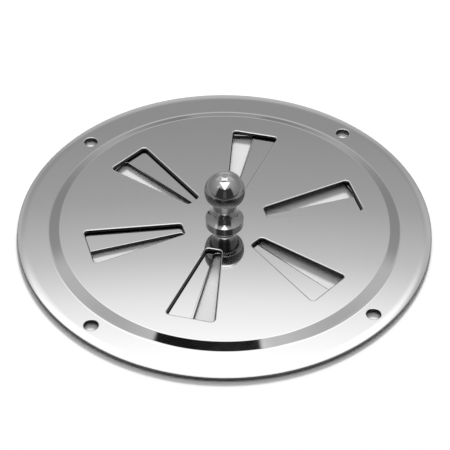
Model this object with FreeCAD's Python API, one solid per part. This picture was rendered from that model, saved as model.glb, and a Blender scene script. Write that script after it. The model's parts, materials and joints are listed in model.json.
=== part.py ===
import FreeCAD
import Part
import math
import os

# Round butterfly vent cover: a stamped plate, a slotted shutter behind it and a turned knob that works it.
# The back of the flange lies on z = 0, the knob's axis is Z, and the face that is seen looks towards +Z.

# Front plate, millimetres and degrees
PLATE_D = 127.0              # across the rim
PLATE_T = 0.8                # thickness of the sheet
RIM_EDGE_R = 0.25            # rounding of the rim's front edge
RIM_ROLL_W = 3.0             # band along the rim where buffing has rounded the face off
RIM_ROLL_DROP = 0.12         # fall of the face across that band
PANEL_RISE = 1.2             # raised panel's face above the flange's face
STEP_SLOPE_DEG = 20.0        # slope of the pressed step between flange and panel
CREST_BEND_R = 1.2           # bend at the top of the step, on the front face
FOOT_BEND_R = 2.5            # bend at the foot of the step, on the front face

# Screw holes in the flange
HOLE_COUNT = 4
HOLE_D = 4.0
HOLE_LAND = 1.25             # flat face between the foot of the step and a hole
HOLE_RIM_LAND = 0.1          # flat face between a hole and the rounded-off band
HOLE_EDGE_R = 0.4            # rounding of a hole's front edge
HOLE_START_DEG = 45.0

# Wedge slots, the same in the plate and the shutter
SLOT_COUNT = 6
SLOT_WIDTH_DEG = 19.3        # between a slot's two radial sides
SLOT_INNER_R = 13.5          # from the axis to a slot's inner corners
SLOT_LAND = 7.3              # from a slot's outer corners to the edge of the flat panel
SLOT_CORNER_R = 1.0
SLOT_EDGE_R = 0.55           # rounding that the punch leaves on the plate's front edges
SLOT_START_DEG = 13.0

# Shutter
SHUTTER_T = 0.8
SHUTTER_EDGE_GAP = 2.5       # from the shutter's edge to the edge of the flat panel
SHUTTER_TURN_DEG = 10.7      # half-open position that the model is stored in

# Knob, heights measured from the panel's face
BALL_D = 12.4
BALL_CENTRE_H = 12.2
BALL_FLAT_D = 2.3            # small flat turned on top of the ball
BALL_FLAT_EDGE_R = 0.8
BALL_UNDER_H = 2.27          # flat underside, this far below the ball's centre
BALL_UNDER_EDGE_R = 0.15
NECK_D = 7.7
NECK_FLARE_W = 0.65          # the neck flares out by this much to meet the ball's underside
NECK_FLARE_H = 5.0           # height of that flare
NECK_COVE_R = 0.5            # cove between neck and collar
COLLAR_LEDGE = 0.35          # level top of the collar, between the cove and the rounding
COLLAR_EDGE_R = 1.0          # rounding of the collar's top
COLLAR_SIDE_H = 0.3          # upright side below that rounding

# Spindle, turned in one piece with the knob
JOURNAL_D = 6.0              # round part that turns in the plate
RUNNING_CLEARANCE = 0.05     # radial, journal in the plate's centre hole
DRIVE_FLATS_W = 4.6          # across the two flats that turn the shutter
DRIVE_CLEARANCE = 0.05       # all round the drive in the shutter's hole
SEAT_GAP = 0.1               # shoulders stop this far short, so that the sheets seat on each other
TAIL_D = 4.0
TAIL_CLEARANCE = 0.15        # radial, tail in the washers
PEEN_D = 6.6
PEEN_H = 0.6

# Washers behind the shutter
SPRING_D = 9.4
SPRING_T = 0.3
SPRING_DISH = 0.2
WASHER_D = 9.0
WASHER_T = 0.5

# Levels and radii worked out from the sizes above
FLANGE_FACE_Z = PLATE_T
PANEL_FACE_Z = FLANGE_FACE_Z + PANEL_RISE
PANEL_BACK_Z = PANEL_FACE_Z - PLATE_T
SHUTTER_BACK_Z = PANEL_BACK_Z - SHUTTER_T
SPRING_BACK_Z = SHUTTER_BACK_Z - SPRING_T - SPRING_DISH
WASHER_BACK_Z = SPRING_BACK_Z - WASHER_T

PLATE_R = PLATE_D / 2
STEP_SLOPE = math.radians(STEP_SLOPE_DEG)
BEND_RUN = (CREST_BEND_R + FOOT_BEND_R) * math.sin(STEP_SLOPE)
BEND_DROP = (CREST_BEND_R + FOOT_BEND_R) * (1 - math.cos(STEP_SLOPE))
STEP_RUN = BEND_RUN + (PANEL_RISE - BEND_DROP) / math.tan(STEP_SLOPE)
ROLL_START_R = PLATE_R - RIM_ROLL_W
HOLE_EDGE_OUTER_R = HOLE_D / 2 + HOLE_EDGE_R
HOLE_CIRCLE_R = ROLL_START_R - HOLE_RIM_LAND - HOLE_EDGE_OUTER_R
FOOT_R = HOLE_CIRCLE_R - HOLE_EDGE_OUTER_R - HOLE_LAND
PANEL_R = FOOT_R - STEP_RUN
RIM_FACE_Z = FLANGE_FACE_Z - RIM_ROLL_DROP
RIM_ROLL_R = (RIM_ROLL_W ** 2 + RIM_ROLL_DROP ** 2) / (2 * RIM_ROLL_DROP)
SLOT_OUTER_R = PANEL_R - SLOT_LAND
SHUTTER_R = PANEL_R - SHUTTER_EDGE_GAP

Z_AXIS = FreeCAD.Vector(0, 0, 1)
ORIGIN = FreeCAD.Vector(0, 0, 0)
CUT_MARGIN = PLATE_T         # how far a cutting tool stands out of the sheet on each side
TOLERANCE = 1e-6


def point(r, z):
    """A point of a turned or pressed section: radius and height."""
    return FreeCAD.Vector(r, 0, z)


def line(start, end):
    return Part.makeLine(start, end)


def arc(centre, radius, start_deg, end_deg):
    """Arc of a section about a centre, angles measured from +X towards +Z."""
    middle_deg = (start_deg + end_deg) / 2
    ends = []
    for degrees in (start_deg, middle_deg, end_deg):
        angle = math.radians(degrees)
        ends.append(centre + point(radius * math.cos(angle), radius * math.sin(angle)))
    return Part.Arc(*ends).toShape()


def revolve(edges):
    """Solid turned about the Z axis from the edges of a closed section."""
    section = Part.Face(Part.Wire(Part.__sortEdges__(edges)))
    return section.revolve(ORIGIN, Z_AXIS, 360)


def polyline(points):
    return [line(a, b) for a, b in zip(points, points[1:])]


def around(shape, count, start_deg):
    """Copies of a shape set evenly about the Z axis."""
    copies = []
    for index in range(count):
        copy = shape.copy()
        copy.rotate(ORIGIN, Z_AXIS, start_deg + index * 360 / count)
        copies.append(copy)
    return copies


def edges_at(solid, z):
    """Edges that lie in the plane z."""
    return [edge for edge in solid.Edges
            if abs(edge.BoundBox.ZMin - z) < TOLERANCE and abs(edge.BoundBox.ZMax - z) < TOLERANCE]


def rings_at(solid, z, radius):
    """Round edges of one radius that lie in the plane z."""
    return [edge for edge in edges_at(solid, z)
            if isinstance(edge.Curve, Part.Circle) and abs(edge.Curve.Radius - radius) < TOLERANCE]


def slot_edges_at(solid, z):
    """Edges of the slots that lie in the plane z: the straight sides and the rounded corners."""
    straight = [edge for edge in edges_at(solid, z) if isinstance(edge.Curve, Part.Line)]
    return straight + rings_at(solid, z, SLOT_CORNER_R)


def sheet_face(depth, flange_end_r):
    """Edges of the pressed section at a depth below the front face, from the axis to the flange's end."""
    panel_z = PANEL_FACE_Z - depth
    flange_z = FLANGE_FACE_Z - depth
    crest_centre = point(PANEL_R, PANEL_FACE_Z - CREST_BEND_R)
    foot_centre = point(FOOT_R, FLANGE_FACE_Z + FOOT_BEND_R)
    crest = arc(crest_centre, CREST_BEND_R - depth, 90, 90 - STEP_SLOPE_DEG)
    foot = arc(foot_centre, FOOT_BEND_R + depth, 270 - STEP_SLOPE_DEG, 270)
    return [
        line(point(0, panel_z), point(PANEL_R, panel_z)),
        crest,
        line(crest.lastVertex().Point, foot.firstVertex().Point),
        foot,
        line(point(FOOT_R, flange_z), point(flange_end_r, flange_z)),
    ]


def wedge_cutter(z_low, z_high):
    """Punch for one slot along +X: radial sides, straight ends and rounded corners."""
    half = math.radians(SLOT_WIDTH_DEG / 2)
    corners = []
    for r, side in ((SLOT_INNER_R, -1), (SLOT_OUTER_R, -1), (SLOT_OUTER_R, 1), (SLOT_INNER_R, 1)):
        corners.append(FreeCAD.Vector(r * math.cos(half), side * r * math.sin(half), z_low))
    outline = Part.makePolygon(corners + corners[:1])
    prism = Part.Face(outline).extrude(Z_AXIS * (z_high - z_low))
    upright = [edge for edge in prism.Edges if edge.BoundBox.ZLength > (z_high - z_low) / 2]
    return prism.makeFillet(SLOT_CORNER_R, upright)


def cylinder(radius, z_low, z_high):
    return Part.makeCylinder(radius, z_high - z_low, FreeCAD.Vector(0, 0, z_low))


def drive_prism(clearance, z_low, z_high):
    """Round bar with two flats: the shape of the spindle's drive, grown by a clearance."""
    round_bar = cylinder(JOURNAL_D / 2 + clearance, z_low, z_high)
    width = DRIVE_FLATS_W + 2 * clearance
    length = JOURNAL_D + 2 * clearance
    corner = FreeCAD.Vector(-length / 2, -width / 2, z_low)
    return round_bar.common(Part.makeBox(length, width, z_high - z_low, corner))


def make_front_plate():
    roll_deg = math.degrees(math.asin(RIM_ROLL_W / RIM_ROLL_R))
    front = sheet_face(0, ROLL_START_R)
    back = sheet_face(PLATE_T, PLATE_R)
    sides = [
        line(point(0, PANEL_BACK_Z), point(0, PANEL_FACE_Z)),
        arc(point(ROLL_START_R, FLANGE_FACE_Z - RIM_ROLL_R), RIM_ROLL_R, 90, 90 - roll_deg),
        line(point(PLATE_R, 0), point(PLATE_R, RIM_FACE_Z)),
    ]
    plate = revolve(front + back + sides)

    slot = wedge_cutter(PANEL_BACK_Z - CUT_MARGIN, PANEL_FACE_Z + CUT_MARGIN)
    hole = cylinder(HOLE_D / 2, -CUT_MARGIN, FLANGE_FACE_Z + CUT_MARGIN)
    hole.translate(FreeCAD.Vector(HOLE_CIRCLE_R, 0, 0))
    centre_hole = cylinder(
        JOURNAL_D / 2 + RUNNING_CLEARANCE, PANEL_BACK_Z - CUT_MARGIN, PANEL_FACE_Z + CUT_MARGIN)
    cutters = around(slot, SLOT_COUNT, SLOT_START_DEG) + around(hole, HOLE_COUNT, HOLE_START_DEG)
    plate = plate.cut(cutters + [centre_hole])

    plate = plate.makeFillet(SLOT_EDGE_R, slot_edges_at(plate, PANEL_FACE_Z))
    plate = plate.makeFillet(HOLE_EDGE_R, rings_at(plate, FLANGE_FACE_Z, HOLE_D / 2))
    return plate.makeFillet(RIM_EDGE_R, rings_at(plate, RIM_FACE_Z, PLATE_R))


def make_shutter():
    disc = cylinder(SHUTTER_R, SHUTTER_BACK_Z, PANEL_BACK_Z)
    z_low = SHUTTER_BACK_Z - CUT_MARGIN
    z_high = PANEL_BACK_Z + CUT_MARGIN
    slots = around(wedge_cutter(z_low, z_high), SLOT_COUNT, SLOT_START_DEG + SHUTTER_TURN_DEG)
    drive_hole = drive_prism(DRIVE_CLEARANCE, z_low, z_high)
    return disc.cut(slots + [drive_hole])


def make_knob():
    """Turned knob with its spindle, its section followed from the ball's top to the peened tail."""
    face_z = PANEL_FACE_Z
    ball_r = BALL_D / 2
    neck_r = NECK_D / 2
    tail_r = TAIL_D / 2
    ball_centre = point(0, face_z + BALL_CENTRE_H)
    flat_z = ball_centre.z + math.sqrt(ball_r ** 2 - (BALL_FLAT_D / 2) ** 2)
    flat_angle = math.degrees(math.acos(BALL_FLAT_D / BALL_D))

    # The ball is cut off flat below, and the neck flares out to meet that flat.
    under_z = ball_centre.z - BALL_UNDER_H
    under_r = math.sqrt(ball_r ** 2 - BALL_UNDER_H ** 2)
    under_angle = -math.degrees(math.asin(BALL_UNDER_H / ball_r))
    flare_r = (NECK_FLARE_W ** 2 + NECK_FLARE_H ** 2) / (2 * NECK_FLARE_W)
    flare_deg = math.degrees(math.asin(NECK_FLARE_H / flare_r))
    flare_centre = point(neck_r + flare_r, under_z - NECK_FLARE_H)
    flare = arc(flare_centre, flare_r, 180 - flare_deg, 180)

    # The cove runs from the neck's side onto the collar's level top, which is rounded off to its side.
    round_z = face_z + COLLAR_SIDE_H
    cove_x = neck_r + NECK_COVE_R
    cove = arc(point(cove_x, round_z + COLLAR_EDGE_R + NECK_COVE_R), NECK_COVE_R, 180, 270)
    round_x = cove_x + COLLAR_LEDGE
    collar_edge = arc(point(round_x, round_z), COLLAR_EDGE_R, 90, 0)

    ball = arc(ball_centre, ball_r, flat_angle, under_angle)
    journal_end = PANEL_BACK_Z + SEAT_GAP
    drive_end = SHUTTER_BACK_Z + SEAT_GAP

    # The peened head is a shallow cap of a sphere whose centre is on the axis.
    peen_r = PEEN_D / 2
    peen_end = WASHER_BACK_Z - PEEN_H
    cap_r = (peen_r ** 2 + PEEN_H ** 2) / (2 * PEEN_H)
    cap_half_deg = math.degrees(math.atan2(peen_r, cap_r - PEEN_H))
    peen_cap = arc(point(0, peen_end + cap_r), cap_r, cap_half_deg - 90, -90)

    edges = [
        line(point(0, flat_z), point(BALL_FLAT_D / 2, flat_z)),
        ball,
        line(ball.lastVertex().Point, flare.firstVertex().Point),
        flare,
        line(flare.lastVertex().Point, cove.firstVertex().Point),
        cove,
        line(cove.lastVertex().Point, collar_edge.firstVertex().Point),
        collar_edge,
    ]
    edges += polyline([
        collar_edge.lastVertex().Point,
        point(round_x + COLLAR_EDGE_R, face_z),
        point(JOURNAL_D / 2, face_z),
        point(JOURNAL_D / 2, drive_end),
        point(tail_r, drive_end),
        point(tail_r, WASHER_BACK_Z),
        point(peen_r, WASHER_BACK_Z),
    ])
    edges += [peen_cap, line(point(0, peen_end), point(0, flat_z))]
    knob = revolve(edges)

    knob = knob.makeFillet(BALL_FLAT_EDGE_R, rings_at(knob, flat_z, BALL_FLAT_D / 2))
    knob = knob.makeFillet(BALL_UNDER_EDGE_R, rings_at(knob, under_z, under_r))
    drive_band = cylinder(JOURNAL_D, drive_end, journal_end)
    return knob.cut(drive_band.cut(drive_prism(0, drive_end, journal_end)))


def make_spring_washer():
    inner_r = TAIL_D / 2 + TAIL_CLEARANCE
    outer_r = SPRING_D / 2
    return revolve(polyline([
        point(outer_r, SHUTTER_BACK_Z),
        point(outer_r, SHUTTER_BACK_Z - SPRING_T),
        point(inner_r, SPRING_BACK_Z),
        point(inner_r, SPRING_BACK_Z + SPRING_T),
        point(outer_r, SHUTTER_BACK_Z),
    ]))


def make_rivet_washer():
    ring = cylinder(WASHER_D / 2, WASHER_BACK_Z, SPRING_BACK_Z)
    return ring.cut(cylinder(TAIL_D / 2 + TAIL_CLEARANCE, WASHER_BACK_Z, SPRING_BACK_Z))


PIECES = {
    "front_plate": make_front_plate,
    "shutter": make_shutter,
    "knob": make_knob,
    "spring_washer": make_spring_washer,
    "rivet_washer": make_rivet_washer,
}

os.makedirs("parts", exist_ok=True)
for name, make in PIECES.items():
    solid = make()
    solid.exportStep(os.path.join("parts", name + ".step"))
    print(name, len(solid.Solids), solid.isValid(), round(solid.Volume, 2), len(solid.Faces))
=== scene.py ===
import json
import math

import bmesh
import bpy
from mathutils import Matrix, Vector


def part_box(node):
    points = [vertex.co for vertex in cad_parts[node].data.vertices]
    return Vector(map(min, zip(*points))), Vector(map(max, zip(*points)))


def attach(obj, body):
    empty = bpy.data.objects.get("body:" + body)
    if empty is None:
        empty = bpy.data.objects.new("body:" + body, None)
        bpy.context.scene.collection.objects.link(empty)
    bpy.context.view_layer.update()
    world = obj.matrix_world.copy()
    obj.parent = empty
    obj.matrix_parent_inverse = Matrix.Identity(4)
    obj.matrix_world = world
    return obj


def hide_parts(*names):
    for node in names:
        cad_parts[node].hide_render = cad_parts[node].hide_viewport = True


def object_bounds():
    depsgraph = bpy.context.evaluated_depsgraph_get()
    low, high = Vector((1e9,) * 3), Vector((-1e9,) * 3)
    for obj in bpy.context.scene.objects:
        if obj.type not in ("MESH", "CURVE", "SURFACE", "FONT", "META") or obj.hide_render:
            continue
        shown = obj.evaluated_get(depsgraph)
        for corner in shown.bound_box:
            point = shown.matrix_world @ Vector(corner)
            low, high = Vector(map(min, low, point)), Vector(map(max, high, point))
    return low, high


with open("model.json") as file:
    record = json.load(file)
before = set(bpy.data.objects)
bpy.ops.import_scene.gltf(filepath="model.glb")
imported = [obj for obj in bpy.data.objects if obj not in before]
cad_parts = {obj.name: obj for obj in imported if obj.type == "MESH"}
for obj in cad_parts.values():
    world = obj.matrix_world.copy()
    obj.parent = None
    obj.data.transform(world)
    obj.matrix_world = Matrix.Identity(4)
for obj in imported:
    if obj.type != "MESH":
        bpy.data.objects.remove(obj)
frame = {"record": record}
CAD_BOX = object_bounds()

bl_info = {
    "name": "Round vent cover",
    "version": (1, 0, 0),
    "blender": (4, 5, 0),
    "location": "View3D > Sidebar > Vent cover",
    "description": "Polished plate with wedge slots, turning shutter and knurled ball knob",
    "category": "Object",
}

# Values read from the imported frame, in metres.
MM = 0.001
PLATE_LOW, PLATE_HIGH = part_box("front_plate")
SHUTTER_LOW, SHUTTER_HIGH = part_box("shutter")
KNOB_LOW, KNOB_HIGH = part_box("knob")
SPRING_LOW, SPRING_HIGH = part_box("spring_washer")
WASHER_LOW, WASHER_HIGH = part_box("rivet_washer")
MOUNTS = {mount["name"]: mount for mount in frame["record"]["mounts"]}
SCREW_DIMS = MOUNTS["screw_holes"]["dims"]
FINISHES = {finish["slot"]: finish for finish in frame["record"]["materials"]}

# How finely the meshes are stepped.
TURN_STEPS = 256         # faces round the plate and the shutter
WASHER_STEPS = 96        # faces round a washer
HOLE_STEPS = 48          # faces round a screw hole
CORNER_STEPS = 8         # round a slot's corner
ROLL_STEPS = 6           # across the rounded-off band along the rim
PUNCHED_EDGE_STEPS = 11  # across the rounded edge of a punched hole
BLANKED_EDGE_STEPS = 4   # across the rounded edge of a blanked slot
KNURL_STEPS_PER_TOOTH = 6
KNURL_STEPS_PER_ROW = 6
ARC_STEP_DEG = 4.0       # longest step along a bend of a section
SUPPORT_INSET = 0.04     # support points stand this share of a straight run inside its ends
SMOOTH_DEG = 32.0        # edges sharper than this stay sharp
TINY = 1e-6

# Where one form takes over from the next.
RIM_EDGE_START_DEG = 86.0  # rim's rounding takes over from the rounded-off band here
RUN_OUT_DEG = 3.0          # slope at which a punched edge runs out through the face
RUN_OUT_RISE = 0.02 * MM   # height over the face that it runs out to
RIM_BAND = 1.0 * MM        # walls this near the rim belong to it
NECK_SHADE_FADE = (0.2, 0.65)    # shares of the neck's height between which the painted shade under the ball fades in

# Sizes of a normal's Z by which faces are told apart.
UPRIGHT_Z = 0.1      # under this a face stands upright
WALL_Z = 0.8         # under this a face is part of a wall
NEAR_LEVEL_Z = 0.99  # over this a face is level but for rounding
LEVEL_Z = 0.9999     # over this a face is level

# Materials and stage.
HAZE_FOUND = (0.1, 0.45)            # haze that the buffing group gives, but for its rarest values
WHITE = (1.0, 1.0, 1.0, 1.0)
PHOTO_WIDTH_PX = 450
TABLE_WIDTH = 6.0
SENSOR_WIDTH_MM = 36.0
NEAREST_SEEN = 0.01
CAMERA_SHADE_Y = (-0.12, -0.03)     # the camera's shade on the table fades out between these
COVER_SHADE_R = (54 * MM, 60 * MM)  # and the cover's own shade between these distances from the axis


def length(name, description, default):
    """Property for a length in metres."""
    return bpy.props.FloatProperty(
        name=name, description=description, default=default, unit="LENGTH", precision=5)


def angle(name, description, degrees):
    """Property for an angle, given in degrees."""
    return bpy.props.FloatProperty(
        name=name, description=description, default=math.radians(degrees), subtype="ANGLE")


def grey(name, description, level):
    """Property for a colour, given as a level of grey."""
    return bpy.props.FloatVectorProperty(
        name=name, description=description, default=(level, level, level), subtype="COLOR", min=0.0, max=1.0)


def factor(name, description, default):
    """Property for a share from 0 to 1."""
    return bpy.props.FloatProperty(
        name=name, description=description, default=default, subtype="FACTOR", min=0.0, max=1.0)


def number(name, description, default):
    """Property for a plain number, whole if its default is."""
    kind = bpy.props.IntProperty if isinstance(default, int) else bpy.props.FloatProperty
    return kind(name=name, description=description, default=default)


class VentPlateSettings(bpy.types.PropertyGroup):
    """Sizes of the stamped plate"""

    radius: length("Radius", "From the axis to the rim", PLATE_HIGH.x)
    sheet: length("Sheet", "Thickness of the sheet", 0.8 * MM)
    panel_z: length("Panel height", "Height of the raised panel's face", PLATE_HIGH.z)
    panel_rise: length("Panel rise", "Raised panel's face above the flange's face", 1.2 * MM)
    foot_radius: length("Foot radius", "Where the step meets the flange", 54.35 * MM)
    step_slope: angle("Step slope", "Slope of the pressed step", 20.0)
    crest_bend: length("Crest bend", "Bend radius at the top of the step", 1.2 * MM)
    foot_bend: length("Foot bend", "Bend radius at the foot of the step", 2.5 * MM)
    roll_width: length("Roll width", "Band where buffing has rounded the rim's face off", 3.0 * MM)
    roll_drop: length("Roll drop", "Fall of the face across that band", 0.12 * MM)
    rim_edge: length("Rim edge", "Rounding of the rim's front edge", 0.25 * MM)
    hub_hole: length("Hub hole", "Radius of the hole that the knob turns in", 3.05 * MM)
    hole_circle: length("Screw circle", "From the axis to a screw hole", SCREW_DIMS["pcd_mm"] / 2 * MM)
    hole_radius: length("Screw hole", "Radius of a screw hole", SCREW_DIMS["hole_r_mm"] * MM)
    hole_count: number("Screw holes", "Screw holes round the flange", SCREW_DIMS["count"])
    hole_start: angle("First screw hole", "Angle of the first screw hole", 45.0)
    hole_edge: length("Screw hole edge", "Rounding of a screw hole's front edge", 0.4 * MM)


class VentSlotSettings(bpy.types.PropertyGroup):
    """Wedge slots, the same in the plate and the shutter"""

    count: number("Slots", "Slots round the panel", 6)
    start: angle("First slot", "Angle of the plate's first slot", 13.0)
    width: angle("Width", "Angle between a slot's two radial sides", 19.3)
    inner: length("Inner corners", "From the axis to a slot's inner corners", 13.5 * MM)
    outer: length("Outer corners", "From the axis to a slot's outer corners", 43.12 * MM)
    corner: length("Corner", "Rounding of a slot's corners", 1.0 * MM)
    edge: length("Slot edge", "Rounding that the punch and the buffing leave round a slot", 0.55 * MM)
    shutter_turn: angle("Shutter turn", "Shutter's slots ahead of the plate's", 10.7)


class VentShutterSettings(bpy.types.PropertyGroup):
    """Sizes of the blanked shutter"""

    hub_radius: length("Hub radius", "Pressed-up hub that bears on the panel's back", 7.0 * MM)
    hub_run: length("Hub slope", "Width of the slope round the hub", 1.5 * MM)
    set_back: length("Set back", "The blades stand this far off the panel", 0.5 * MM)
    edge: length("Edge", "Rounding that blanking leaves on the front edges", 0.25 * MM)


class VentKnobSettings(bpy.types.PropertyGroup):
    """Sizes of the turned knob and its spindle"""

    ball_radius: length("Ball radius", "Radius of the ball", 6.2 * MM)
    ball_height: length("Ball height", "Ball's centre above the panel", 12.2 * MM)
    flat_edge: length("Flat edge", "Rounding between the ball and the small flat on its top", 0.8 * MM)
    under_drop: length("Underside", "Flat underside below the ball's centre", 2.27 * MM)
    under_edge: length("Underside edge", "Rounding between the ball and its underside", 0.15 * MM)
    ball_cove: length("Ball cove", "Hollow bend from the neck to the ball's underside", 0.5 * MM)
    neck_lean: angle("Neck lean", "Lean of the neck above its waist", 10.5)
    neck_bend: length("Neck bend", "Hollow bend from that lean to the waist", 5.0 * MM)
    waist_bend: length("Waist bend", "Hollow bend from the waist to the skirt", 3.8 * MM)
    skirt_start: angle("Skirt start", "Slope of the neck where the skirt begins", 45.0)
    skirt_bend: length("Skirt bend", "Hollow bend of the skirt", 9.1 * MM)
    skirt_end: angle("Skirt end", "Slope of the skirt at the collar's edge", 36.0)
    collar_radius: length("Collar radius", "From the axis to the collar's side", 5.85 * MM)
    collar_edge: length("Collar edge", "Rounding between the skirt and the collar's side", 0.2 * MM)
    collar_side: length("Collar side", "Upright side below that rounding", 1.2 * MM)
    journal_radius: length("Journal radius", "Round part that turns in the plate", 3.0 * MM)
    drive_width: length("Drive width", "Across the two flats that turn the shutter", 4.6 * MM)
    drive_clearance: length("Drive clearance", "All round the drive in the shutter's hole", 0.05 * MM)
    seat_gap: length("Seat gap", "Shoulders stop this far short of the sheets", 0.1 * MM)
    tail_radius: length("Tail radius", "Radius of the tail in the washers", 2.0 * MM)
    peen_radius: length("Peened head", "Radius of the peened head", 3.3 * MM)
    knurl_high: angle("Knurl high", "Latitude of the knurled belt's upper end", 11.0)
    knurl_depth: length("Knurl depth", "Depth of the knurl's grooves", 0.11 * MM)
    knurl_teeth: number("Knurl teeth", "Ridges round the ball", 56)
    knurl_rows: number("Knurl rows", "Diamonds across the belt", 5)


class VentWasherSettings(bpy.types.PropertyGroup):
    """Washers behind the shutter"""

    hole: length("Hole", "Radius of the hole round the tail", 2.15 * MM)
    spring_sheet: length("Spring sheet", "Thickness of the dished washer", 0.3 * MM)


class VentFinishSettings(bpy.types.PropertyGroup):
    """Colours and polish of the steel, with the painted shade on its marked faces"""

    sheet_colour: grey("Sheet colour", "Polished sheet", FINISHES["polished_sheet"]["base_color"][0])
    knob_colour: grey("Knob colour", "Turned and polished knob", 0.72)
    washer_colour: grey("Washer colour", "Satin washers", FINISHES["washer_steel"]["base_color"][0])
    sheet_roughness: factor("Sheet roughness", "Haze of the buffed sheet", 0.045)
    knob_roughness: factor("Knob roughness", "Haze of the turned knob", 0.07)
    washer_roughness: factor("Washer roughness", "Haze of the washers", 0.3)
    haze_spread: factor("Haze spread", "How far the haze of a surface strays from its middle value", 0.4)
    # Dark colour of marked faces: partly unpolished steel, partly painted shade in walls, hollows and
    # undersides.
    dull_and_shade_colour: grey("Dull colour", "Steel that no polish reaches", 0.12)
    dull_roughness: factor("Dull roughness", "Haze of steel that no polish reaches", 0.25)
    # The back and the rim are darkened by painted shade as well as left unpolished.
    back_dull_and_shade: factor("Dull back", "How dull the back of a sheet is, which is left as rolled", 0.7)
    rim_dull_and_shade: factor("Dull rim", "How dull the plate's rim is", 0.25)
    dull_collar: factor("Dull collar", "How dull the side of the knob's collar is", 0.65)
    # Skirt and neck darken towards the ball as painted shade under it.
    skirt_dull_and_shade: factor("Dull skirt", "How dull the foot of the knob's skirt is", 0.05)
    neck_dull_and_shade: factor("Dull neck", "How dull the top of the knob's neck is", 0.85)
    # Share of the painted shade in the knurl's grooves that is taken off its crests.
    knurl_shine: factor("Knurl shine", "Polish that is left on the knurl's crests", 0.35)


class VentStageSettings(bpy.types.PropertyGroup):
    """Floor, light and camera"""

    camera_distance: length("Camera distance", "From the lens to the plate", 0.5137)
    camera_azimuth: angle("Camera azimuth", "Camera round the cover, 0 looks along +Y", -3.62)
    camera_elevation: angle("Camera elevation", "Camera above the horizon", 42.87)
    camera_roll: angle("Camera roll", "Tilt of the camera about its own axis", 0.36)
    focal: number("Focal length", "Lens, in millimetres", 133.65)
    floor_colour: grey("Floor colour", "Pale table top", 0.8)
    floor_seen: factor("Seen floor", "Colour of the table to the camera, white where it is lit", 1.0)
    floor_under: factor("Floor under the cover", "Share of that colour that is left under the cover", 0.74)
    floor_mirrored: factor("Mirrored floor", "Grey of the table where the steel mirrors it", 0.26)
    floor_shaded: factor("Shaded floor", "Share of that grey that is left in the camera's shade", 0.2)
    lamp_watts: number("Lamp power", "Power of the soft lamp", 9.5)
    lamp_width: length("Lamp width", "Across the soft lamp's disc", 0.3)
    lamp_place: bpy.props.FloatVectorProperty(
        name="Lamp place", description="Where the soft lamp hangs, behind the cover", subtype="TRANSLATION",
        default=(0.154, 0.723, 0.946), precision=3)
    shift_right: number("Shift right", "Shift of the picture's frame, in the photo's pixels", 0.45)
    shift_up: number("Shift up", "Shift of the picture's frame, in the photo's pixels", -1.7)


def deselect_all():
    """Leaves edit mode and selects nothing."""
    if bpy.context.object is not None and bpy.context.object.mode != "OBJECT":
        bpy.ops.object.mode_set(mode="OBJECT")
    bpy.ops.object.select_all(action="DESELECT")


def added(operator, name, **settings):
    """New object from one of Blender's add operators."""
    deselect_all()
    operator(**settings)
    bpy.context.object.name = name
    return bpy.context.object


def activate(obj):
    """Selects one object alone."""
    deselect_all()
    obj.select_set(True)
    bpy.context.view_layer.objects.active = obj


def edit(obj, kind):
    """Opens an object in edit mode with nothing selected. Kind is VERT, EDGE or FACE."""
    activate(obj)
    bpy.ops.object.mode_set(mode="EDIT")
    bpy.ops.mesh.select_mode(type=kind)
    bpy.ops.mesh.select_all(action="DESELECT")
    return bmesh.from_edit_mesh(obj.data)


def arc(centre, radius, start_deg, end_deg, steps=None):
    """Points of an arc about a centre: from the radius axis to +Z in a section, from X to Y in a plan."""
    if steps is None:
        steps = max(3, math.ceil(abs(end_deg - start_deg) / ARC_STEP_DEG))
    points = []
    for index in range(steps + 1):
        turn = math.radians(start_deg + (end_deg - start_deg) * index / steps)
        points.append((centre[0] + radius * math.cos(turn), centre[1] + radius * math.sin(turn)))
    return points


def hollow_bend(start, radius, start_deg, end_deg):
    """Points of a section's hollow arc that runs on from a point, between two slopes."""
    turn = math.radians(start_deg)
    centre = (start[0] + radius * math.sin(turn), start[1] + radius * math.cos(turn))
    return arc(centre, radius, 270 - start_deg, 270 - end_deg)


def draw_chain(name, points):
    """New object with a chain of edges, drawn by extruding one vertex from point to point."""
    obj = added(bpy.ops.mesh.primitive_plane_add, name, size=MM, location=points[0])
    obj.data.name = name
    bpy.ops.object.transform_apply()
    edit(obj, "VERT")
    bpy.ops.mesh.select_all(action="SELECT")
    bpy.ops.mesh.merge(type="CENTER")
    for before, after in zip(points, points[1:]):
        step = Vector(after) - Vector(before)
        bpy.ops.mesh.extrude_vertices_move(TRANSFORM_OT_translate={"value": step})
    return obj


def close_chain():
    """Joins the two ends of the chain in edit mode into a loop."""
    mesh = bmesh.from_edit_mesh(bpy.context.object.data)
    for vert in mesh.verts:
        vert.select_set(len(vert.link_edges) == 1)
    mesh.select_flush(True)
    bmesh.update_edit_mesh(bpy.context.object.data)
    bpy.ops.mesh.edge_face_add()


def spin_section(name, section, steps, closed):
    """Solid turned about Z from a section of (radius, height) points."""
    obj = draw_chain(name, [(r, 0.0, z) for r, z in section])
    if closed:
        close_chain()
    bpy.ops.mesh.select_all(action="SELECT")
    bpy.ops.mesh.spin(steps=steps, angle=2 * math.pi, center=(0, 0, 0), axis=(0, 0, 1))
    bpy.ops.mesh.select_all(action="SELECT")
    bpy.ops.mesh.remove_doubles(threshold=TINY)
    bpy.ops.mesh.normals_make_consistent(inside=False)
    bpy.ops.object.mode_set(mode="OBJECT")
    return obj


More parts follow.
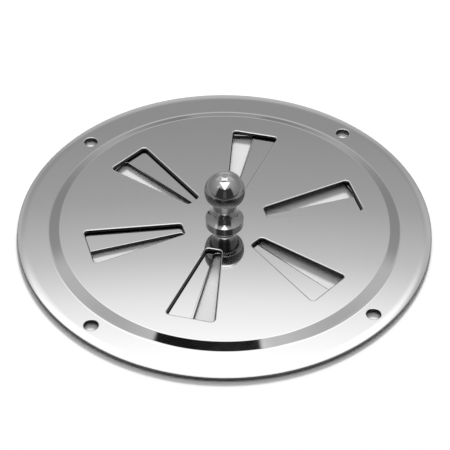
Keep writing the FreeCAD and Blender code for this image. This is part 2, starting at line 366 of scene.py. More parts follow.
def flared_prism(name, outline_at, levels):
    """Upright solid on a closed outline. Levels are (growth of the outline, height), from the bottom up."""
    growth, height = levels[0]
    outline = [Vector(point) for point in outline_at(growth)]
    obj = draw_chain(name, [(x, y, height) for x, y in outline])
    close_chain()
    bpy.ops.mesh.select_all(action="SELECT")
    bpy.ops.mesh.edge_face_add()
    for next_growth, next_height in levels[1:]:
        bpy.ops.mesh.extrude_region_move(TRANSFORM_OT_translate={"value": (0, 0, next_height - height)})
        height = next_height
        grown = [Vector(point) for point in outline_at(next_growth)]
        mesh = bmesh.from_edit_mesh(obj.data)
        for vert in mesh.verts:
            if vert.select:
                gaps = [(vert.co.xy - point).length for point in outline]
                vert.co.xy = grown[gaps.index(min(gaps))]
        bmesh.update_edit_mesh(obj.data)
        outline = grown
    bpy.ops.mesh.select_all(action="SELECT")
    bpy.ops.mesh.normals_make_consistent(inside=False)
    bpy.ops.object.mode_set(mode="OBJECT")
    return obj


def prism(name, outline, z_low, z_high):
    """Upright prism on a closed outline of (x, y) points."""
    return flared_prism(name, lambda growth: outline, ((0.0, z_low), (0.0, z_high)))


def punch_levels(face_z, back_z, edge):
    """Levels of a cutter that leaves the rounded edge of a punched hole at the front face."""
    levels = [(0.0, 2 * back_z - face_z)]
    for index in range(PUNCHED_EDGE_STEPS + 1):
        tilt = math.radians(90 + (RUN_OUT_DEG - 90) * index / PUNCHED_EDGE_STEPS)
        levels.append((edge * (1 - math.sin(tilt)), face_z - edge * (1 - math.cos(tilt))))
    # The last slope runs out through the face, so that the two meet in a clean line.
    growth, height = levels[-1]
    growth += (face_z + RUN_OUT_RISE - height) / math.tan(math.radians(RUN_OUT_DEG))
    levels.append((growth, face_z + RUN_OUT_RISE))
    levels.append((growth, 2 * face_z - back_z))
    return levels


def ring_of_copies(obj, count, start):
    """Copies of a cutter set evenly about Z, joined into one object."""
    copies = [obj]
    for index in range(1, count):
        activate(obj)
        bpy.ops.object.duplicate()
        copies.append(bpy.context.object)
    for index, copy in enumerate(copies):
        copy.data.transform(Matrix.Rotation(start + index * 2 * math.pi / count, 4, "Z"))
    deselect_all()
    for copy in copies:
        copy.select_set(True)
    bpy.context.view_layer.objects.active = obj
    if count > 1:
        bpy.ops.object.join()
    return obj


def cut(obj, cutter):
    """Takes the cutter out of the object, then removes it."""
    activate(obj)
    modifier = obj.modifiers.new("cut", "BOOLEAN")
    modifier.operation = "DIFFERENCE"
    modifier.solver = "EXACT"
    modifier.object = cutter
    bpy.ops.object.modifier_apply(modifier=modifier.name)
    bpy.data.objects.remove(cutter)


def corner_points(before, corner, after, radius, growth):
    """Arc that rounds one corner of an outline, grown outwards from its own centre."""
    to_before = (before - corner).normalized()
    to_after = (after - corner).normalized()
    half = to_before.angle(to_after) / 2
    centre = corner + (to_before + to_after).normalized() * (radius / math.sin(half))
    first = corner + to_before * (radius / math.tan(half)) - centre
    last = corner + to_after * (radius / math.tan(half)) - centre
    turn = first.angle_signed(last)
    points = []
    spoke = first * ((radius + growth) / radius)
    for index in range(CORNER_STEPS + 1):
        points.append(centre + Matrix.Rotation(-turn * index / CORNER_STEPS, 2) @ spoke)
    return points


def slot_outline(slots, growth=0.0):
    """Outline of one wedge slot along +X: radial sides, straight ends, rounded corners."""
    half = slots.width / 2
    corners = []
    for r, side in ((slots.inner, -1), (slots.outer, -1), (slots.outer, 1), (slots.inner, 1)):
        corners.append(Vector((r * math.cos(half), side * r * math.sin(half))))
    outline = []
    for index, corner in enumerate(corners):
        before = corners[index - 1]
        after = corners[(index + 1) % len(corners)]
        outline += corner_points(before, corner, after, slots.corner, growth)
    return outline


def bevel_edges(obj, wanted, width, segments):
    """Rounds the edges between two faces that a test picks."""
    mesh = edit(obj, "EDGE")
    mesh.normal_update()
    for edge in mesh.edges:
        if len(edge.link_faces) == 2 and wanted(edge):
            edge.select_set(True)
    bmesh.update_edit_mesh(obj.data)
    bpy.ops.mesh.bevel(offset=width, segments=segments, profile=0.5, affect="EDGES", clamp_overlap=False)
    bpy.ops.object.mode_set(mode="OBJECT")


def meets_square(edge):
    """True where a level face meets an upright wall."""
    steep = sorted(abs(face.normal.z) for face in edge.link_faces)
    return steep[0] < UPRIGHT_Z and steep[1] > NEAR_LEVEL_Z


def smooth_with_flats(obj, levels):
    """Smooth shading, with the level faces at the given heights kept exactly flat."""
    activate(obj)
    bpy.ops.object.shade_smooth_by_angle(angle=math.radians(SMOOTH_DEG))
    mesh = edit(obj, "FACE")
    for face in mesh.faces:
        z = face.calc_center_median().z
        level = any(abs(z - height) < TINY for height in levels)
        face.select_set(level and abs(face.normal.z) > LEVEL_Z)
    bmesh.update_edit_mesh(obj.data)
    bpy.ops.mesh.set_normals_from_faces(keep_sharp=True)
    bpy.ops.object.mode_set(mode="OBJECT")


def mark_dull_and_shade(obj, share):
    """Marks each face for the material: 0 is polished, 1 is as the tool left it and darkened by painted
    shade.
    """
    marks = obj.data.attributes.new("dull_and_shade", "FLOAT", "FACE")
    for face, mark in zip(obj.data.polygons, marks.data):
        mark.value = share(face)


def mark_sheet(obj):
    """Marks a sheet's walls, which the punch leaves rough and which are darkened as painted shade, less so
    at the rim, and its back, which is left as rolled and darkened as painted shade under the cover.
    """
    finish = bpy.context.scene.vent_finish

    def share(face):
        # Walls and back: rough or rolled steel, darkened as painted shade.
        if abs(face.normal.z) < WALL_Z:
            at_rim = face.center.xy.length > PLATE_HIGH.x - RIM_BAND
            return finish.rim_dull_and_shade if at_rim else 1.0
        return finish.back_dull_and_shade if face.normal.z < 0 else 0.0

    mark_dull_and_shade(obj, share)


def put_in_frame(obj, node, body, material):
    """Makes a finished piece stand for its CAD node."""
    obj.data.materials.clear()
    obj.data.materials.append(material)
    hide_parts(node)
    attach(obj, body)


def sheet_side(plate, depth):
    """Pressed section at a depth below the front face, from the panel's edge to the flange."""
    slope_deg = math.degrees(plate.step_slope)
    bends = plate.crest_bend + plate.foot_bend
    drop = bends * (1 - math.cos(plate.step_slope))
    run = bends * math.sin(plate.step_slope) + (plate.panel_rise - drop) / math.tan(plate.step_slope)
    crest_centre = (plate.foot_radius - run, plate.panel_z - plate.crest_bend)
    foot_centre = (plate.foot_radius, plate.panel_z - plate.panel_rise + plate.foot_bend)
    crest = arc(crest_centre, plate.crest_bend - depth, 90, 90 - slope_deg)
    foot = arc(foot_centre, plate.foot_bend + depth, 270 - slope_deg, 270)
    return crest + support_points(crest[-1], foot[0]) + foot


def support_points(start, end):
    """Two points just inside the ends of a straight run, which keep its shading straight."""
    first = Vector(start).lerp(Vector(end), SUPPORT_INSET)
    last = Vector(start).lerp(Vector(end), 1 - SUPPORT_INSET)
    return [tuple(first), tuple(last)]


def plate_section(plate):
    """Closed section of the plate, out along its front and home along its back."""
    flange_z = plate.panel_z - plate.panel_rise
    roll_start = plate.radius - plate.roll_width
    roll_radius = (plate.roll_width ** 2 + plate.roll_drop ** 2) / (2 * plate.roll_drop)
    rim_z = flange_z - plate.roll_drop
    edge_centre = (plate.radius - plate.rim_edge, rim_z - plate.rim_edge)
    roll_end_deg = math.degrees(math.acos((plate.roll_width - plate.rim_edge) / roll_radius))
    roll = arc((roll_start, flange_z - roll_radius), roll_radius, 90, roll_end_deg, ROLL_STEPS)
    edge = arc(edge_centre, plate.rim_edge, RIM_EDGE_START_DEG, 0)
    front = [(plate.hub_hole, plate.panel_z)] + sheet_side(plate, 0.0) + roll + edge
    back = sheet_side(plate, plate.sheet)[::-1] + [(plate.hub_hole, plate.panel_z - plate.sheet)]
    return front + [(plate.radius, flange_z - plate.sheet)] + back


class VENT_OT_front_plate(bpy.types.Operator):
    """Stamped plate: pressed section turned about the axis, with punched slots and screw holes"""

    bl_idname = "vent.front_plate"
    bl_label = "Front plate"

    def execute(self, context):
        plate = context.scene.vent_plate
        slots = context.scene.vent_slots
        flange_z = plate.panel_z - plate.panel_rise
        body = spin_section("polished_plate", plate_section(plate), TURN_STEPS, True)

        def hole_outline(growth):
            return arc((plate.hole_circle, 0), plate.hole_radius + growth, 0, 360, HOLE_STEPS)[:-1]

        levels = punch_levels(plate.panel_z, plate.panel_z - plate.sheet, slots.edge)
        slot = flared_prism("slot_punch", lambda growth: slot_outline(slots, growth), levels)
        cut(body, ring_of_copies(slot, slots.count, slots.start))
        levels = punch_levels(flange_z, flange_z - plate.sheet, plate.hole_edge)
        hole = flared_prism("hole_punch", hole_outline, levels)
        cut(body, ring_of_copies(hole, plate.hole_count, plate.hole_start))
        levels = (plate.panel_z, flange_z, plate.panel_z - plate.sheet, flange_z - plate.sheet)
        smooth_with_flats(body, levels)
        mark_sheet(body)
        put_in_frame(body, "front_plate", "cover", polished_sheet_material())
        return {"FINISHED"}


class VENT_OT_shutter(bpy.types.Operator):
    """Blanked disc behind the panel, with the same slots and a pressed-up hub"""

    bl_idname = "vent.shutter"
    bl_label = "Shutter"

    def execute(self, context):
        slots = context.scene.vent_slots
        knob = context.scene.vent_knob
        shutter = context.scene.vent_shutter
        top = SHUTTER_HIGH.z
        sheet = top - SHUTTER_LOW.z
        front = top - shutter.set_back
        foot = shutter.hub_radius + shutter.hub_run
        face = [(0.0, top), (shutter.hub_radius, top), (foot, front), (SHUTTER_HIGH.y, front)]
        back = [(r, z - sheet) for r, z in reversed(face)]
        disc = spin_section("shutter_disc", face + back, TURN_STEPS, False)
        low = front - 2 * sheet
        high = top + sheet
        slot = prism("slot_punch", slot_outline(slots), low, high)
        cut(disc, ring_of_copies(slot, slots.count, slots.start + slots.shutter_turn))
        drive = prism("drive_punch", drive_outline(knob, knob.drive_clearance), low, high)
        cut(disc, drive)

        def blanked_edge(edge):
            level = all(abs(vert.co.z - front) < TINY for vert in edge.verts)
            return level and meets_square(edge)

        bevel_edges(disc, blanked_edge, shutter.edge, BLANKED_EDGE_STEPS)
        smooth_with_flats(disc, (top, front, front - sheet))
        mark_sheet(disc)
        put_in_frame(disc, "shutter", "turning_shutter", polished_sheet_material())
        return {"FINISHED"}


def drive_outline(knob, clearance):
    """Round bar with two flats, grown by a clearance."""
    radius = knob.journal_radius + clearance
    half_width = knob.drive_width / 2 + clearance
    reach_deg = math.degrees(math.asin(half_width / radius))
    outline = []
    for middle in (0, 180):
        outline += arc((0, 0), radius, middle - reach_deg, middle + reach_deg)
    return outline


def knurl_low(knob):
    """Latitude where the ball runs into the rounded edge of its underside."""
    return -math.asin((knob.under_drop - knob.under_edge) / (knob.ball_radius - knob.under_edge))


def knob_section(knob, panel_z, drive_end):
    """Section of the knob from the ball's top down to the peened head."""
    ball_z = panel_z + knob.ball_height
    flat_z = KNOB_HIGH.z
    edge_r = knob.flat_edge
    # The rounded edge of the flat touches the flat from below and the ball from inside.
    edge_z = flat_z - edge_r
    edge_x = math.sqrt((knob.ball_radius - edge_r) ** 2 - (edge_z - ball_z) ** 2)
    edge_end_deg = math.degrees(math.atan2(edge_z - ball_z, edge_x))
    under_z = ball_z - knob.under_drop
    under_x = math.sqrt((knob.ball_radius - knob.under_edge) ** 2 - (knob.under_drop - knob.under_edge) ** 2)
    belt_high = math.degrees(knob.knurl_high)
    belt_low = math.degrees(knurl_low(knob))

    # From the collar's side up to the ball: an edge, then hollow bends from slope to slope.
    end_deg = math.degrees(knob.skirt_end)
    start_deg = math.degrees(knob.skirt_start)
    lean_deg = math.degrees(knob.neck_lean)
    foot = (knob.collar_radius, panel_z)
    edge = arc((foot[0] - knob.collar_edge, panel_z + knob.collar_side), knob.collar_edge, 0, 90 - end_deg)
    skirt = hollow_bend(edge[-1], knob.skirt_bend, end_deg, start_deg)
    waist = hollow_bend(skirt[-1], knob.waist_bend, start_deg, 90)
    neck = hollow_bend(waist[-1], knob.neck_bend, 90, 90 + lean_deg)
    run = under_z - knob.ball_cove * (1 - math.sin(knob.neck_lean)) - neck[-1][1]
    lean_top = (neck[-1][0] + run * math.tan(knob.neck_lean), neck[-1][1] + run)
    cove = hollow_bend(lean_top, knob.ball_cove, 90 + lean_deg, 180)
    rise = [foot] + support_points(foot, edge[0]) + edge + skirt[1:] + waist[1:] + neck[1:]
    rise += support_points(neck[-1], lean_top) + cove

    tail_end = WASHER_LOW.z
    peen_h = tail_end - KNOB_LOW.z
    cap_r = (knob.peen_radius ** 2 + peen_h ** 2) / (2 * peen_h)
    cap_half = math.degrees(math.atan2(knob.peen_radius, cap_r - peen_h))

    belt_steps = knob.knurl_rows * KNURL_STEPS_PER_ROW
    section = [(0.0, flat_z)]
    section += arc((edge_x, edge_z), edge_r, 90, edge_end_deg)
    section += arc((0.0, ball_z), knob.ball_radius, edge_end_deg, belt_high)[1:-1]
    section += arc((0.0, ball_z), knob.ball_radius, belt_high, belt_low, belt_steps)
    section += arc((under_x, under_z + knob.under_edge), knob.under_edge, belt_low, -90)[1:]
    section += rise[::-1]
    section += [(knob.journal_radius, panel_z), (knob.journal_radius, drive_end)]
    section += [(knob.tail_radius, drive_end), (knob.tail_radius, tail_end)]
    section += arc((0.0, KNOB_LOW.z + cap_r), cap_r, cap_half - 90, -90)
    return section


def triangle_wave(value):
    """0 at whole numbers, 1 half-way between them."""
    return 1 - abs(2 * (value - math.floor(value)) - 1)


def knurl_crest(spoke, knob):
    """Knurl in a direction from the ball's centre: 1 on a crest to 0 in a groove, and the grooves' depth."""
    low = knurl_low(knob)
    across = (math.asin(spoke.z / spoke.length) - low) / (knob.knurl_high - low)
    if not -TINY <= across <= 1:
        return 1.0, 0.0
    turn = math.atan2(spoke.y, spoke.x) / (2 * math.pi) * knob.knurl_teeth
    rows = across * knob.knurl_rows
    crest = min(triangle_wave(turn + rows / 2), triangle_wave(turn - rows / 2))
    return crest, knob.knurl_depth * min(1.0, (1 - across) * knob.knurl_rows / 2)


def press_knurl(obj, knob, panel_z):
    """Presses the crossed grooves of the knurl into the ball's belt."""
    centre = Vector((0, 0, panel_z + knob.ball_height))
    for vert in obj.data.vertices:
        spoke = vert.co - centre
        if abs(spoke.length - knob.ball_radius) > TINY:
            continue
        crest, depth = knurl_crest(spoke, knob)
        vert.co -= spoke.normalized() * depth * (1 - crest)


def mark_knob(obj, knob, panel_z):
    """Marks the turned faces that are drawn rougher and darker: the collar's side; the neck, darker towards
    the ball as painted shade under it; the ball's underside and the faces below it, and the knurl's grooves,
    darkened as painted shade.
    """
    finish = bpy.context.scene.vent_finish
    centre = Vector((0, 0, panel_z + knob.ball_height))
    side_high = panel_z + knob.collar_side
    neck_high = centre.z - knob.under_drop + TINY

    def share(face):
        if panel_z < face.center.z < side_high:
            return finish.dull_collar
        # The neck darkens towards the ball: painted shade under it.
        if side_high < face.center.z < neck_high:
            rise = (face.center.z - side_high) / (neck_high - side_high)
            fade = (rise - NECK_SHADE_FADE[0]) / (NECK_SHADE_FADE[1] - NECK_SHADE_FADE[0])
            return finish.skirt_dull_and_shade + (finish.neck_dull_and_shade - finish.skirt_dull_and_shade) * min(1.0, max(0.0, fade))
        spoke = face.center - centre
        crest, depth = knurl_crest(spoke, knob)
        on_ball = abs(spoke.length - knob.ball_radius) < 2 * knob.knurl_depth
        # Knurl grooves are darkened as painted shade, the crests less; the underside and the faces below it
        # too.
        if on_ball and depth > 0:
            return 1 - finish.knurl_shine * crest
        return 0.0 if on_ball or face.center.z > centre.z else 1.0

    mark_dull_and_shade(obj, share)


class VENT_OT_knob(bpy.types.Operator):
    """Turned ball knob with its knurled belt, neck, collar and peened spindle"""

    bl_idname = "vent.knob"
    bl_label = "Knob"

    def execute(self, context):
        knob = context.scene.vent_knob
        panel_z = context.scene.vent_plate.panel_z
        steps = knob.knurl_teeth * KNURL_STEPS_PER_TOOTH
        drive_high = SHUTTER_HIGH.z + knob.seat_gap
        drive_low = SHUTTER_LOW.z + knob.seat_gap
        body = spin_section("ball_knob", knob_section(knob, panel_z, drive_low), steps, False)
        side = 4 * knob.journal_radius
        for direction in (-1, 1):
            middle = (0, direction * (knob.drive_width + side) / 2, (drive_high + drive_low) / 2)
            cutter = added(bpy.ops.mesh.primitive_cube_add, "flat_cutter", size=1, location=middle)
            cutter.scale = (side, side, drive_high - drive_low)
            bpy.ops.object.transform_apply()
            cut(body, cutter)
        press_knurl(body, knob, panel_z)
        smooth_with_flats(body, (KNOB_HIGH.z, panel_z))
        mark_knob(body, knob, panel_z)
        put_in_frame(body, "knob", "turning_shutter", turned_steel_material())
        return {"FINISHED"}


class VENT_OT_washers(bpy.types.Operator):
    """Dished spring washer and flat washer behind the shutter"""

    bl_idname = "vent.washers"
    bl_label = "Washers"

    def execute(self, context):
        washers = context.scene.vent_washers
        rim = SPRING_HIGH.y
        spring = [
            (rim, SPRING_HIGH.z), (rim, SPRING_HIGH.z - washers.spring_sheet),
            (washers.hole, SPRING_LOW.z), (washers.hole, SPRING_LOW.z + washers.spring_sheet)]
        flat = [
            (washers.hole, WASHER_LOW.z), (WASHER_HIGH.y, WASHER_LOW.z),
            (WASHER_HIGH.y, WASHER_HIGH.z), (washers.hole, WASHER_HIGH.z)]
        for name, node, section in (
                ("dished_washer", "spring_washer", spring), ("flat_washer", "rivet_washer", flat)):
            ring = spin_section(name, section, WASHER_STEPS, True)
            activate(ring)
            bpy.ops.object.shade_smooth_by_angle(angle=math.radians(SMOOTH_DEG))
            put_in_frame(ring, node, "turning_shutter", washer_material())
        return {"FINISHED"}


def fill(tree, node, inputs):
    """Links a node's inputs, by name or number, to outputs, or sets them to values."""
    for name, source in inputs.items():
        if isinstance(source, bpy.types.NodeSocket):
            tree.links.new(source, node.inputs[name])
        else:
            node.inputs[name].default_value = source


def new_node(tree, kind, inputs=None, **settings):
    """New node with its settings, given by their property names, and its inputs."""
    node = tree.nodes.new(kind)
    for name, value in settings.items():
        setattr(node, name, value)
    fill(tree, node, inputs or {})
    return node


def worked_out(tree, operation, *operands):
    """Result of a sum on outputs or numbers."""
    inputs = dict(enumerate(operands))
    return new_node(tree, "ShaderNodeMath", inputs, operation=operation).outputs["Value"]


def mixed(tree, kind, share, first, last):
    """Mix of two values or colours: the first where the share is 0, the last where it is 1."""
    inputs = {"Factor": share, "A": first, "B": last}
    return new_node(tree, "ShaderNodeMix", inputs, data_type=kind).outputs["Result"]


def remap(tree, value, source, target, interpolation):
    """Value that runs from one end of the target to the other while the given one crosses the source."""
    names = ("Value", "From Min", "From Max", "To Min", "To Max")
    inputs = dict(zip(names, (value, *source, *target)))
    return new_node(tree, "ShaderNodeMapRange", inputs, interpolation_type=interpolation).outputs["Result"]


def buffing_group():
    """Node group: faint streaks that a buffing wheel leaves, as a height and a haze."""
    found = bpy.data.node_groups.get("buffing")
    if found is not None:
        return found
    group = bpy.data.node_groups.new("buffing", "ShaderNodeTree")
    for name, low, high in (("Along", 10.0, 400.0), ("Across", 100.0, 4000.0)):
        socket = group.interface.new_socket(name=name, in_out="INPUT", socket_type="NodeSocketFloat")
        socket.min_value = low
        socket.max_value = high
    for name in ("Height", "Haze"):
        group.interface.new_socket(name=name, in_out="OUTPUT", socket_type="NodeSocketFloat")
    given = new_node(group, "NodeGroupInput").outputs
    across = given["Across"]
    place = new_node(group, "ShaderNodeTexCoord").outputs["Object"]
    stretch = new_node(group, "ShaderNodeCombineXYZ", {"X": across, "Y": given["Along"], "Z": across})
    scaled = new_node(
        group, "ShaderNodeVectorMath", {0: place, 1: stretch.outputs["Vector"]}, operation="MULTIPLY")
    inputs = {"Scale": 1.0, "Detail": 3.0, "Vector": scaled.outputs["Vector"]}
    streaks = new_node(group, "ShaderNodeTexNoise", inputs).outputs["Fac"]
    inputs = {"Scale": 40.0, "Detail": 4.0, "Vector": place}
    smears = new_node(group, "ShaderNodeTexNoise", inputs).outputs["Fac"]
    haze = worked_out(group, "MULTIPLY", streaks, smears)
    new_node(group, "NodeGroupOutput", {"Height": streaks, "Haze": haze})
    return group


def steel_material(name, colour, roughness, along, across, relief):
    """Steel with buffing streaks in its polish, rougher and darker where its faces are marked so: the
    roughness is unpolished steel, the darker colour partly that and partly painted shade.

    Along and across are the streaks per metre, and relief is their height in metres.
    """
    finish = bpy.context.scene.vent_finish
    found = bpy.data.materials.get(name)
    if found is not None:
        return found
    material = bpy.data.materials.new(name)
    material.use_nodes = True
    tree = material.node_tree
    inputs = {"Along": along, "Across": across}
    streaks = new_node(tree, "ShaderNodeGroup", inputs, node_tree=buffing_group())
    spread = (roughness * (1 - finish.haze_spread), roughness * (1 + finish.haze_spread))
    haze = remap(tree, streaks.outputs["Haze"], HAZE_FOUND, spread, "LINEAR")
    # The mark roughens a face and darkens its colour as painted shade.
    dull_and_shade = new_node(tree, "ShaderNodeAttribute", attribute_name="dull_and_shade").outputs["Fac"]
    bump = new_node(tree, "ShaderNodeBump", {"Distance": relief, "Height": streaks.outputs["Height"]})
    fill(tree, tree.nodes["Principled BSDF"], {
        "Metallic": 1.0,
        "Roughness": mixed(tree, "FLOAT", dull_and_shade, haze, finish.dull_roughness),
        "Base Color": mixed(tree, "RGBA", dull_and_shade, (*colour, 1.0), (*finish.dull_and_shade_colour, 1.0)),
        "Normal": bump.outputs["Normal"],
    })
    return material


def polished_sheet_material():
    """Buffed stainless sheet, mirror bright."""
    finish = bpy.context.scene.vent_finish
    return steel_material(
        "buffed_sheet_steel", finish.sheet_colour, finish.sheet_roughness,
        along=40.0, across=1500.0, relief=1e-7)


def turned_steel_material():
    """Turned and polished steel of the knob."""
    finish = bpy.context.scene.vent_finish
    return steel_material(
        "polished_turned_steel", finish.knob_colour, finish.knob_roughness,
        along=200.0, across=3000.0, relief=1e-7)


def washer_material():
    """Satin steel of the washers."""
    finish = bpy.context.scene.vent_finish
    return steel_material(
        "satin_washer_steel", finish.washer_colour, finish.washer_roughness,
        along=300.0, across=2500.0, relief=1e-6)


class Surroundings:
    """World nodes that paint the cloth, sheets and dark gaps that the polished steel mirrors.

    Directions are seen from the photographer: right, away and up. Angles are in degrees. Overhead, a place
    is given by how far right and away it is for each unit of height.
    """

    def __init__(self, tree, heading):
        self.tree = tree
        inputs = {"Angle": heading, "Vector": new_node(tree, "ShaderNodeTexCoord").outputs["Generated"]}
        turned = new_node(tree, "ShaderNodeVectorRotate", inputs, rotation_type="Z_AXIS")
        split = new_node(tree, "ShaderNodeSeparateXYZ", {"Vector": turned.outputs["Vector"]})
        self.right, self.away, self.up = (split.outputs[axis] for axis in "XYZ")
        self.elevation = self.math("MULTIPLY", self.math("ARCSINE", self.up), math.degrees(1))
        height = self.math("MAXIMUM", self.up, 0.01)
        self.over_right = self.math("DIVIDE", self.right, height)
        self.over_away = self.math("DIVIDE", self.away, height)
        self.overhead = self.above(self.up, 0.05, 0.02)
        self.light = None

    def math(self, operation, *operands):
        """Result of a sum on outputs or numbers."""
        return worked_out(self.tree, operation, *operands)

    def above(self, value, edge, blur):
        """Mask that is 1 where the value is over the edge and 0 under it, with a soft change between."""
        return remap(self.tree, value, (edge - blur, edge + blur), (0.0, 1.0), "SMOOTHSTEP")

    def below(self, value, edge, blur):
        """Mask that is 1 where the value is under the edge."""
        return self.math("SUBTRACT", 1.0, self.above(value, edge, blur))

    def between(self, value, low, high, blur):
        """Mask that is 1 where the value lies between two edges."""
        return self.math("MULTIPLY", self.above(value, low, blur), self.below(value, high, blur))

    def all_of(self, *masks):
        """Mask that is 1 where all the given ones are."""
        result = masks[0]
        for mask in masks[1:]:
            result = self.math("MULTIPLY", result, mask)
        return result

    def bearing(self, away_sign):
        """Degrees to the right of straight away from the camera, or of straight towards it."""
        ahead = self.math("MULTIPLY", self.away, away_sign)
        return self.math("MULTIPLY", self.math("ARCTAN2", self.right, ahead), math.degrees(1))

    def ramp(self, value, stops):
        """Light that runs straight between stops of (value, light)."""
        low, high = stops[0][0], stops[-1][0]
        scaled = remap(self.tree, value, (low, high), (0.0, 1.0), "LINEAR")
        curve = new_node(self.tree, "ShaderNodeValToRGB", {"Fac": scaled})
        points = curve.color_ramp.elements
        while len(points) < len(stops):
            points.new(0.5)
        for point, (at, level) in zip(points, stops):
            point.position = (at - low) / (high - low)
            point.color = (level, level, level, 1.0)
        return curve.outputs["Color"]

    def paint(self, mask, level):
        """Lays a light level over what is there, where the mask is 1."""
        if not isinstance(level, bpy.types.NodeSocket):
            level = (level, level, level, 1.0)
        self.light = mixed(self.tree, "RGBA", mask, self.light, level)

    def paint_cloth(self):
        """Grey cloth all round, paler upwards."""
        self.light = self.ramp(self.elevation, (
            (-20, 0.2), (0, 0.24), (15, 0.25), (30, 0.3), (45, 0.37),
            (55, 0.42), (65, 0.5), (75, 0.62), (90, 0.66)))

    def paint_back_wall(self):
        """Lit strip low down, a pale veil over it, and the bright sheet that hangs before the veil."""
        off_far = self.math("ABSOLUTE", self.bearing(1.0))
        strip = self.all_of(self.below(off_far, 17.0, 14.0), self.between(self.elevation, 4.0, 36.0, 4.0))
        self.paint(strip, 0.58)
        veil = self.all_of(self.below(off_far, 58.0, 6.0), self.between(self.elevation, 38.0, 66.0, 4.0))
        self.paint(veil, 0.54)
        level = self.ramp(self.elevation, (
            (36, 0.34), (39.5, 0.33), (42, 0.42), (44, 0.64), (45.5, 0.98), (47.5, 1.28), (90, 1.28)))
        sheet = self.all_of(
            self.above(self.away, 0.0, 0.02),
            self.between(self.over_right, -0.28, 0.24, 0.04),
            self.above(self.elevation, 36.5, 1.0),
            self.above(self.over_away, 0.2, 0.02))
        self.paint(sheet, level)

    def paint_camera_side(self):
        """Dark gap with the camera's post in it, and a lit strip to the left of it."""
        near = self.bearing(-1.0)
        off_near = self.math("ABSOLUTE", near)
        this_side = self.above(self.math("MULTIPLY", self.away, -1.0), 0.15, 0.05)
        for width, top, blur, level in ((50.0, 50.0, 6.0, 0.035), (9.0, 38.0, 4.0, 0.09)):
            tall = self.between(self.elevation, -12.0, top, blur)
            self.paint(self.all_of(this_side, tall, self.below(off_near, width, blur)), level)
        tall = self.between(self.elevation, 42.0, 60.0, 3.0)
        self.paint(self.all_of(self.between(near, -68.0, -55.0, 3.0), tall), 0.75)

    def paint_top(self):
        """Lit top, which narrows towards the camera, and the black bar across it."""
        half = self.math("ADD", self.math("MULTIPLY", self.over_away, 0.45), 0.48)
        inside = self.math("SUBTRACT", half, self.math("ABSOLUTE", self.over_right))
        lit = self.all_of(
            self.between(self.over_away, -0.95, 0.05, 0.04), self.above(inside, 0.0, 0.05), self.overhead)
        self.paint(lit, 1.6)
        bar = self.all_of(
            self.between(self.over_right, -0.285, 0.15, 0.01),
            self.between(self.over_away, 0.03, 0.135, 0.01),
            self.overhead)
        self.paint(bar, 0.01)


def surroundings_world(heading):
    """White to the camera, and a photographer's set of sheets and gaps to everything else."""
    world = bpy.data.worlds.new("soft_boxes")
    world.use_nodes = True
    tree = world.node_tree
    around = Surroundings(tree, heading)
    around.paint_cloth()
    around.paint_back_wall()
    around.paint_camera_side()
    around.paint_top()
    path = new_node(tree, "ShaderNodeLightPath")
    light = mixed(tree, "RGBA", path.outputs["Is Camera Ray"], around.light, WHITE)
    fill(tree, tree.nodes["Background"], {"Color": light})
    return world


def floor_material(stage):
    """Matt pale table top: white to the camera where no shadow falls, and its own grey in the steel."""
    material = bpy.data.materials.new("pale_table")
    material.use_nodes = True
    tree = material.node_tree
    tree.nodes.remove(tree.nodes["Principled BSDF"])
    path = new_node(tree, "ShaderNodeLightPath")
    seen = worked_out(tree, "MAXIMUM", path.outputs["Is Camera Ray"], path.outputs["Is Transmission Ray"])
    place = new_node(tree, "ShaderNodeTexCoord").outputs["Object"]
    split = new_node(tree, "ShaderNodeSeparateXYZ", {"Vector": place})
    distance = new_node(tree, "ShaderNodeVectorMath", {0: place}, operation="LENGTH")
    # The table darkens towards the camera, which shades it, and under the cover.
    greys = (stage.floor_mirrored * stage.floor_shaded, stage.floor_mirrored)
    mirrored = remap(tree, split.outputs["Y"], CAMERA_SHADE_Y, greys, "SMOOTHSTEP")
    whites = (stage.floor_seen * stage.floor_under, stage.floor_seen)
    direct = remap(tree, distance.outputs["Value"], COVER_SHADE_R, whites, "SMOOTHSTEP")
    colour = mixed(tree, "RGBA", path.outputs["Is Glossy Ray"], (*stage.floor_colour, 1.0), mirrored)
    colour = mixed(tree, "RGBA", seen, colour, direct)
    matt = new_node(tree, "ShaderNodeBsdfDiffuse", {"Color": colour})
    fill(tree, tree.nodes["Material Output"], {"Surface": matt.outputs["BSDF"]})
    return material


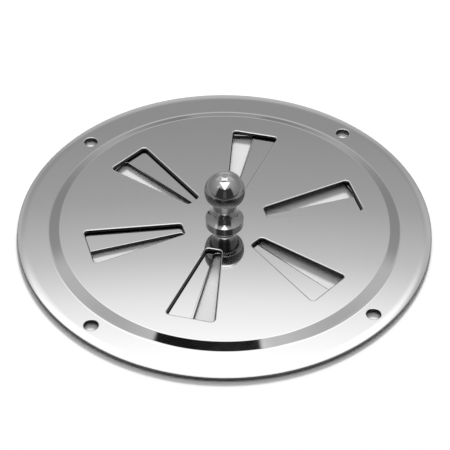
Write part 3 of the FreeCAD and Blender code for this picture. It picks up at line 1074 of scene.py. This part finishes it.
class VENT_OT_stage(bpy.types.Operator):
    """Pale table, soft light, surroundings for the steel to mirror, and the camera"""

    bl_idname = "vent.stage"
    bl_label = "Stage"

    def execute(self, context):
        scene = context.scene
        stage = scene.vent_stage
        plate = scene.vent_plate
        table = added(bpy.ops.mesh.primitive_plane_add, "table_top", size=TABLE_WIDTH)
        table.data.transform(Matrix.Translation((0, 0, CAD_BOX[0].z)))
        table.data.materials.append(floor_material(stage))

        lamp = added(bpy.ops.object.light_add, "soft_lamp", type="AREA", location=stage.lamp_place)
        lamp.data.shape = "DISK"
        lamp.data.size = stage.lamp_width
        lamp.data.energy = stage.lamp_watts
        lamp.rotation_euler = (-lamp.location).to_track_quat("-Z", "Y").to_euler()
        lamp.visible_glossy = False

        scene.world = surroundings_world(-stage.camera_azimuth)
        camera = added(bpy.ops.object.camera_add, "photo_camera")
        camera.data.lens = stage.focal
        camera.data.sensor_width = SENSOR_WIDTH_MM
        camera.data.clip_start = NEAREST_SEEN
        aim = Vector((0, 0, plate.panel_z - plate.panel_rise))
        level = math.cos(stage.camera_elevation)
        back = Vector((
            math.sin(stage.camera_azimuth) * level,
            -math.cos(stage.camera_azimuth) * level,
            math.sin(stage.camera_elevation)))
        camera.location = aim + back * stage.camera_distance
        looking = back.to_track_quat("Z", "Y")
        camera.rotation_mode = "QUATERNION"
        camera.rotation_quaternion = looking @ Matrix.Rotation(stage.camera_roll, 3, "Z").to_quaternion()
        camera.data.shift_x = stage.shift_right / PHOTO_WIDTH_PX
        camera.data.shift_y = stage.shift_up / PHOTO_WIDTH_PX
        scene.camera = camera
        scene.view_settings.view_transform = "Standard"
        return {"FINISHED"}


class VENT_PT_panel(bpy.types.Panel):
    """Lists the steps that build the cover"""

    bl_idname = "VENT_PT_panel"
    bl_label = "Vent cover"
    bl_space_type = "VIEW_3D"
    bl_region_type = "UI"
    bl_category = "Vent cover"

    def draw(self, context):
        for step in STEPS:
            self.layout.operator(step.bl_idname)


STEPS = (VENT_OT_front_plate, VENT_OT_shutter, VENT_OT_knob, VENT_OT_washers, VENT_OT_stage)
SETTINGS = {
    "vent_plate": VentPlateSettings,
    "vent_slots": VentSlotSettings,
    "vent_shutter": VentShutterSettings,
    "vent_knob": VentKnobSettings,
    "vent_washers": VentWasherSettings,
    "vent_finish": VentFinishSettings,
    "vent_stage": VentStageSettings,
}


def register():
    """Adds the settings, the operators and the panel."""
    for name, group in SETTINGS.items():
        bpy.utils.register_class(group)
        setattr(bpy.types.Scene, name, bpy.props.PointerProperty(type=group))
    for step in STEPS:
        bpy.utils.register_class(step)
    bpy.utils.register_class(VENT_PT_panel)


def unregister():
    """Takes them out again."""
    bpy.utils.unregister_class(VENT_PT_panel)
    for step in reversed(STEPS):
        bpy.utils.unregister_class(step)
    for name, group in SETTINGS.items():
        delattr(bpy.types.Scene, name)
        bpy.utils.unregister_class(group)


def main():
    """Builds the cover and its stage."""
    register()
    bpy.ops.vent.front_plate()
    bpy.ops.vent.shutter()
    bpy.ops.vent.knob()
    bpy.ops.vent.washers()
    bpy.ops.vent.stage()


if __name__ == "__main__":
    main()
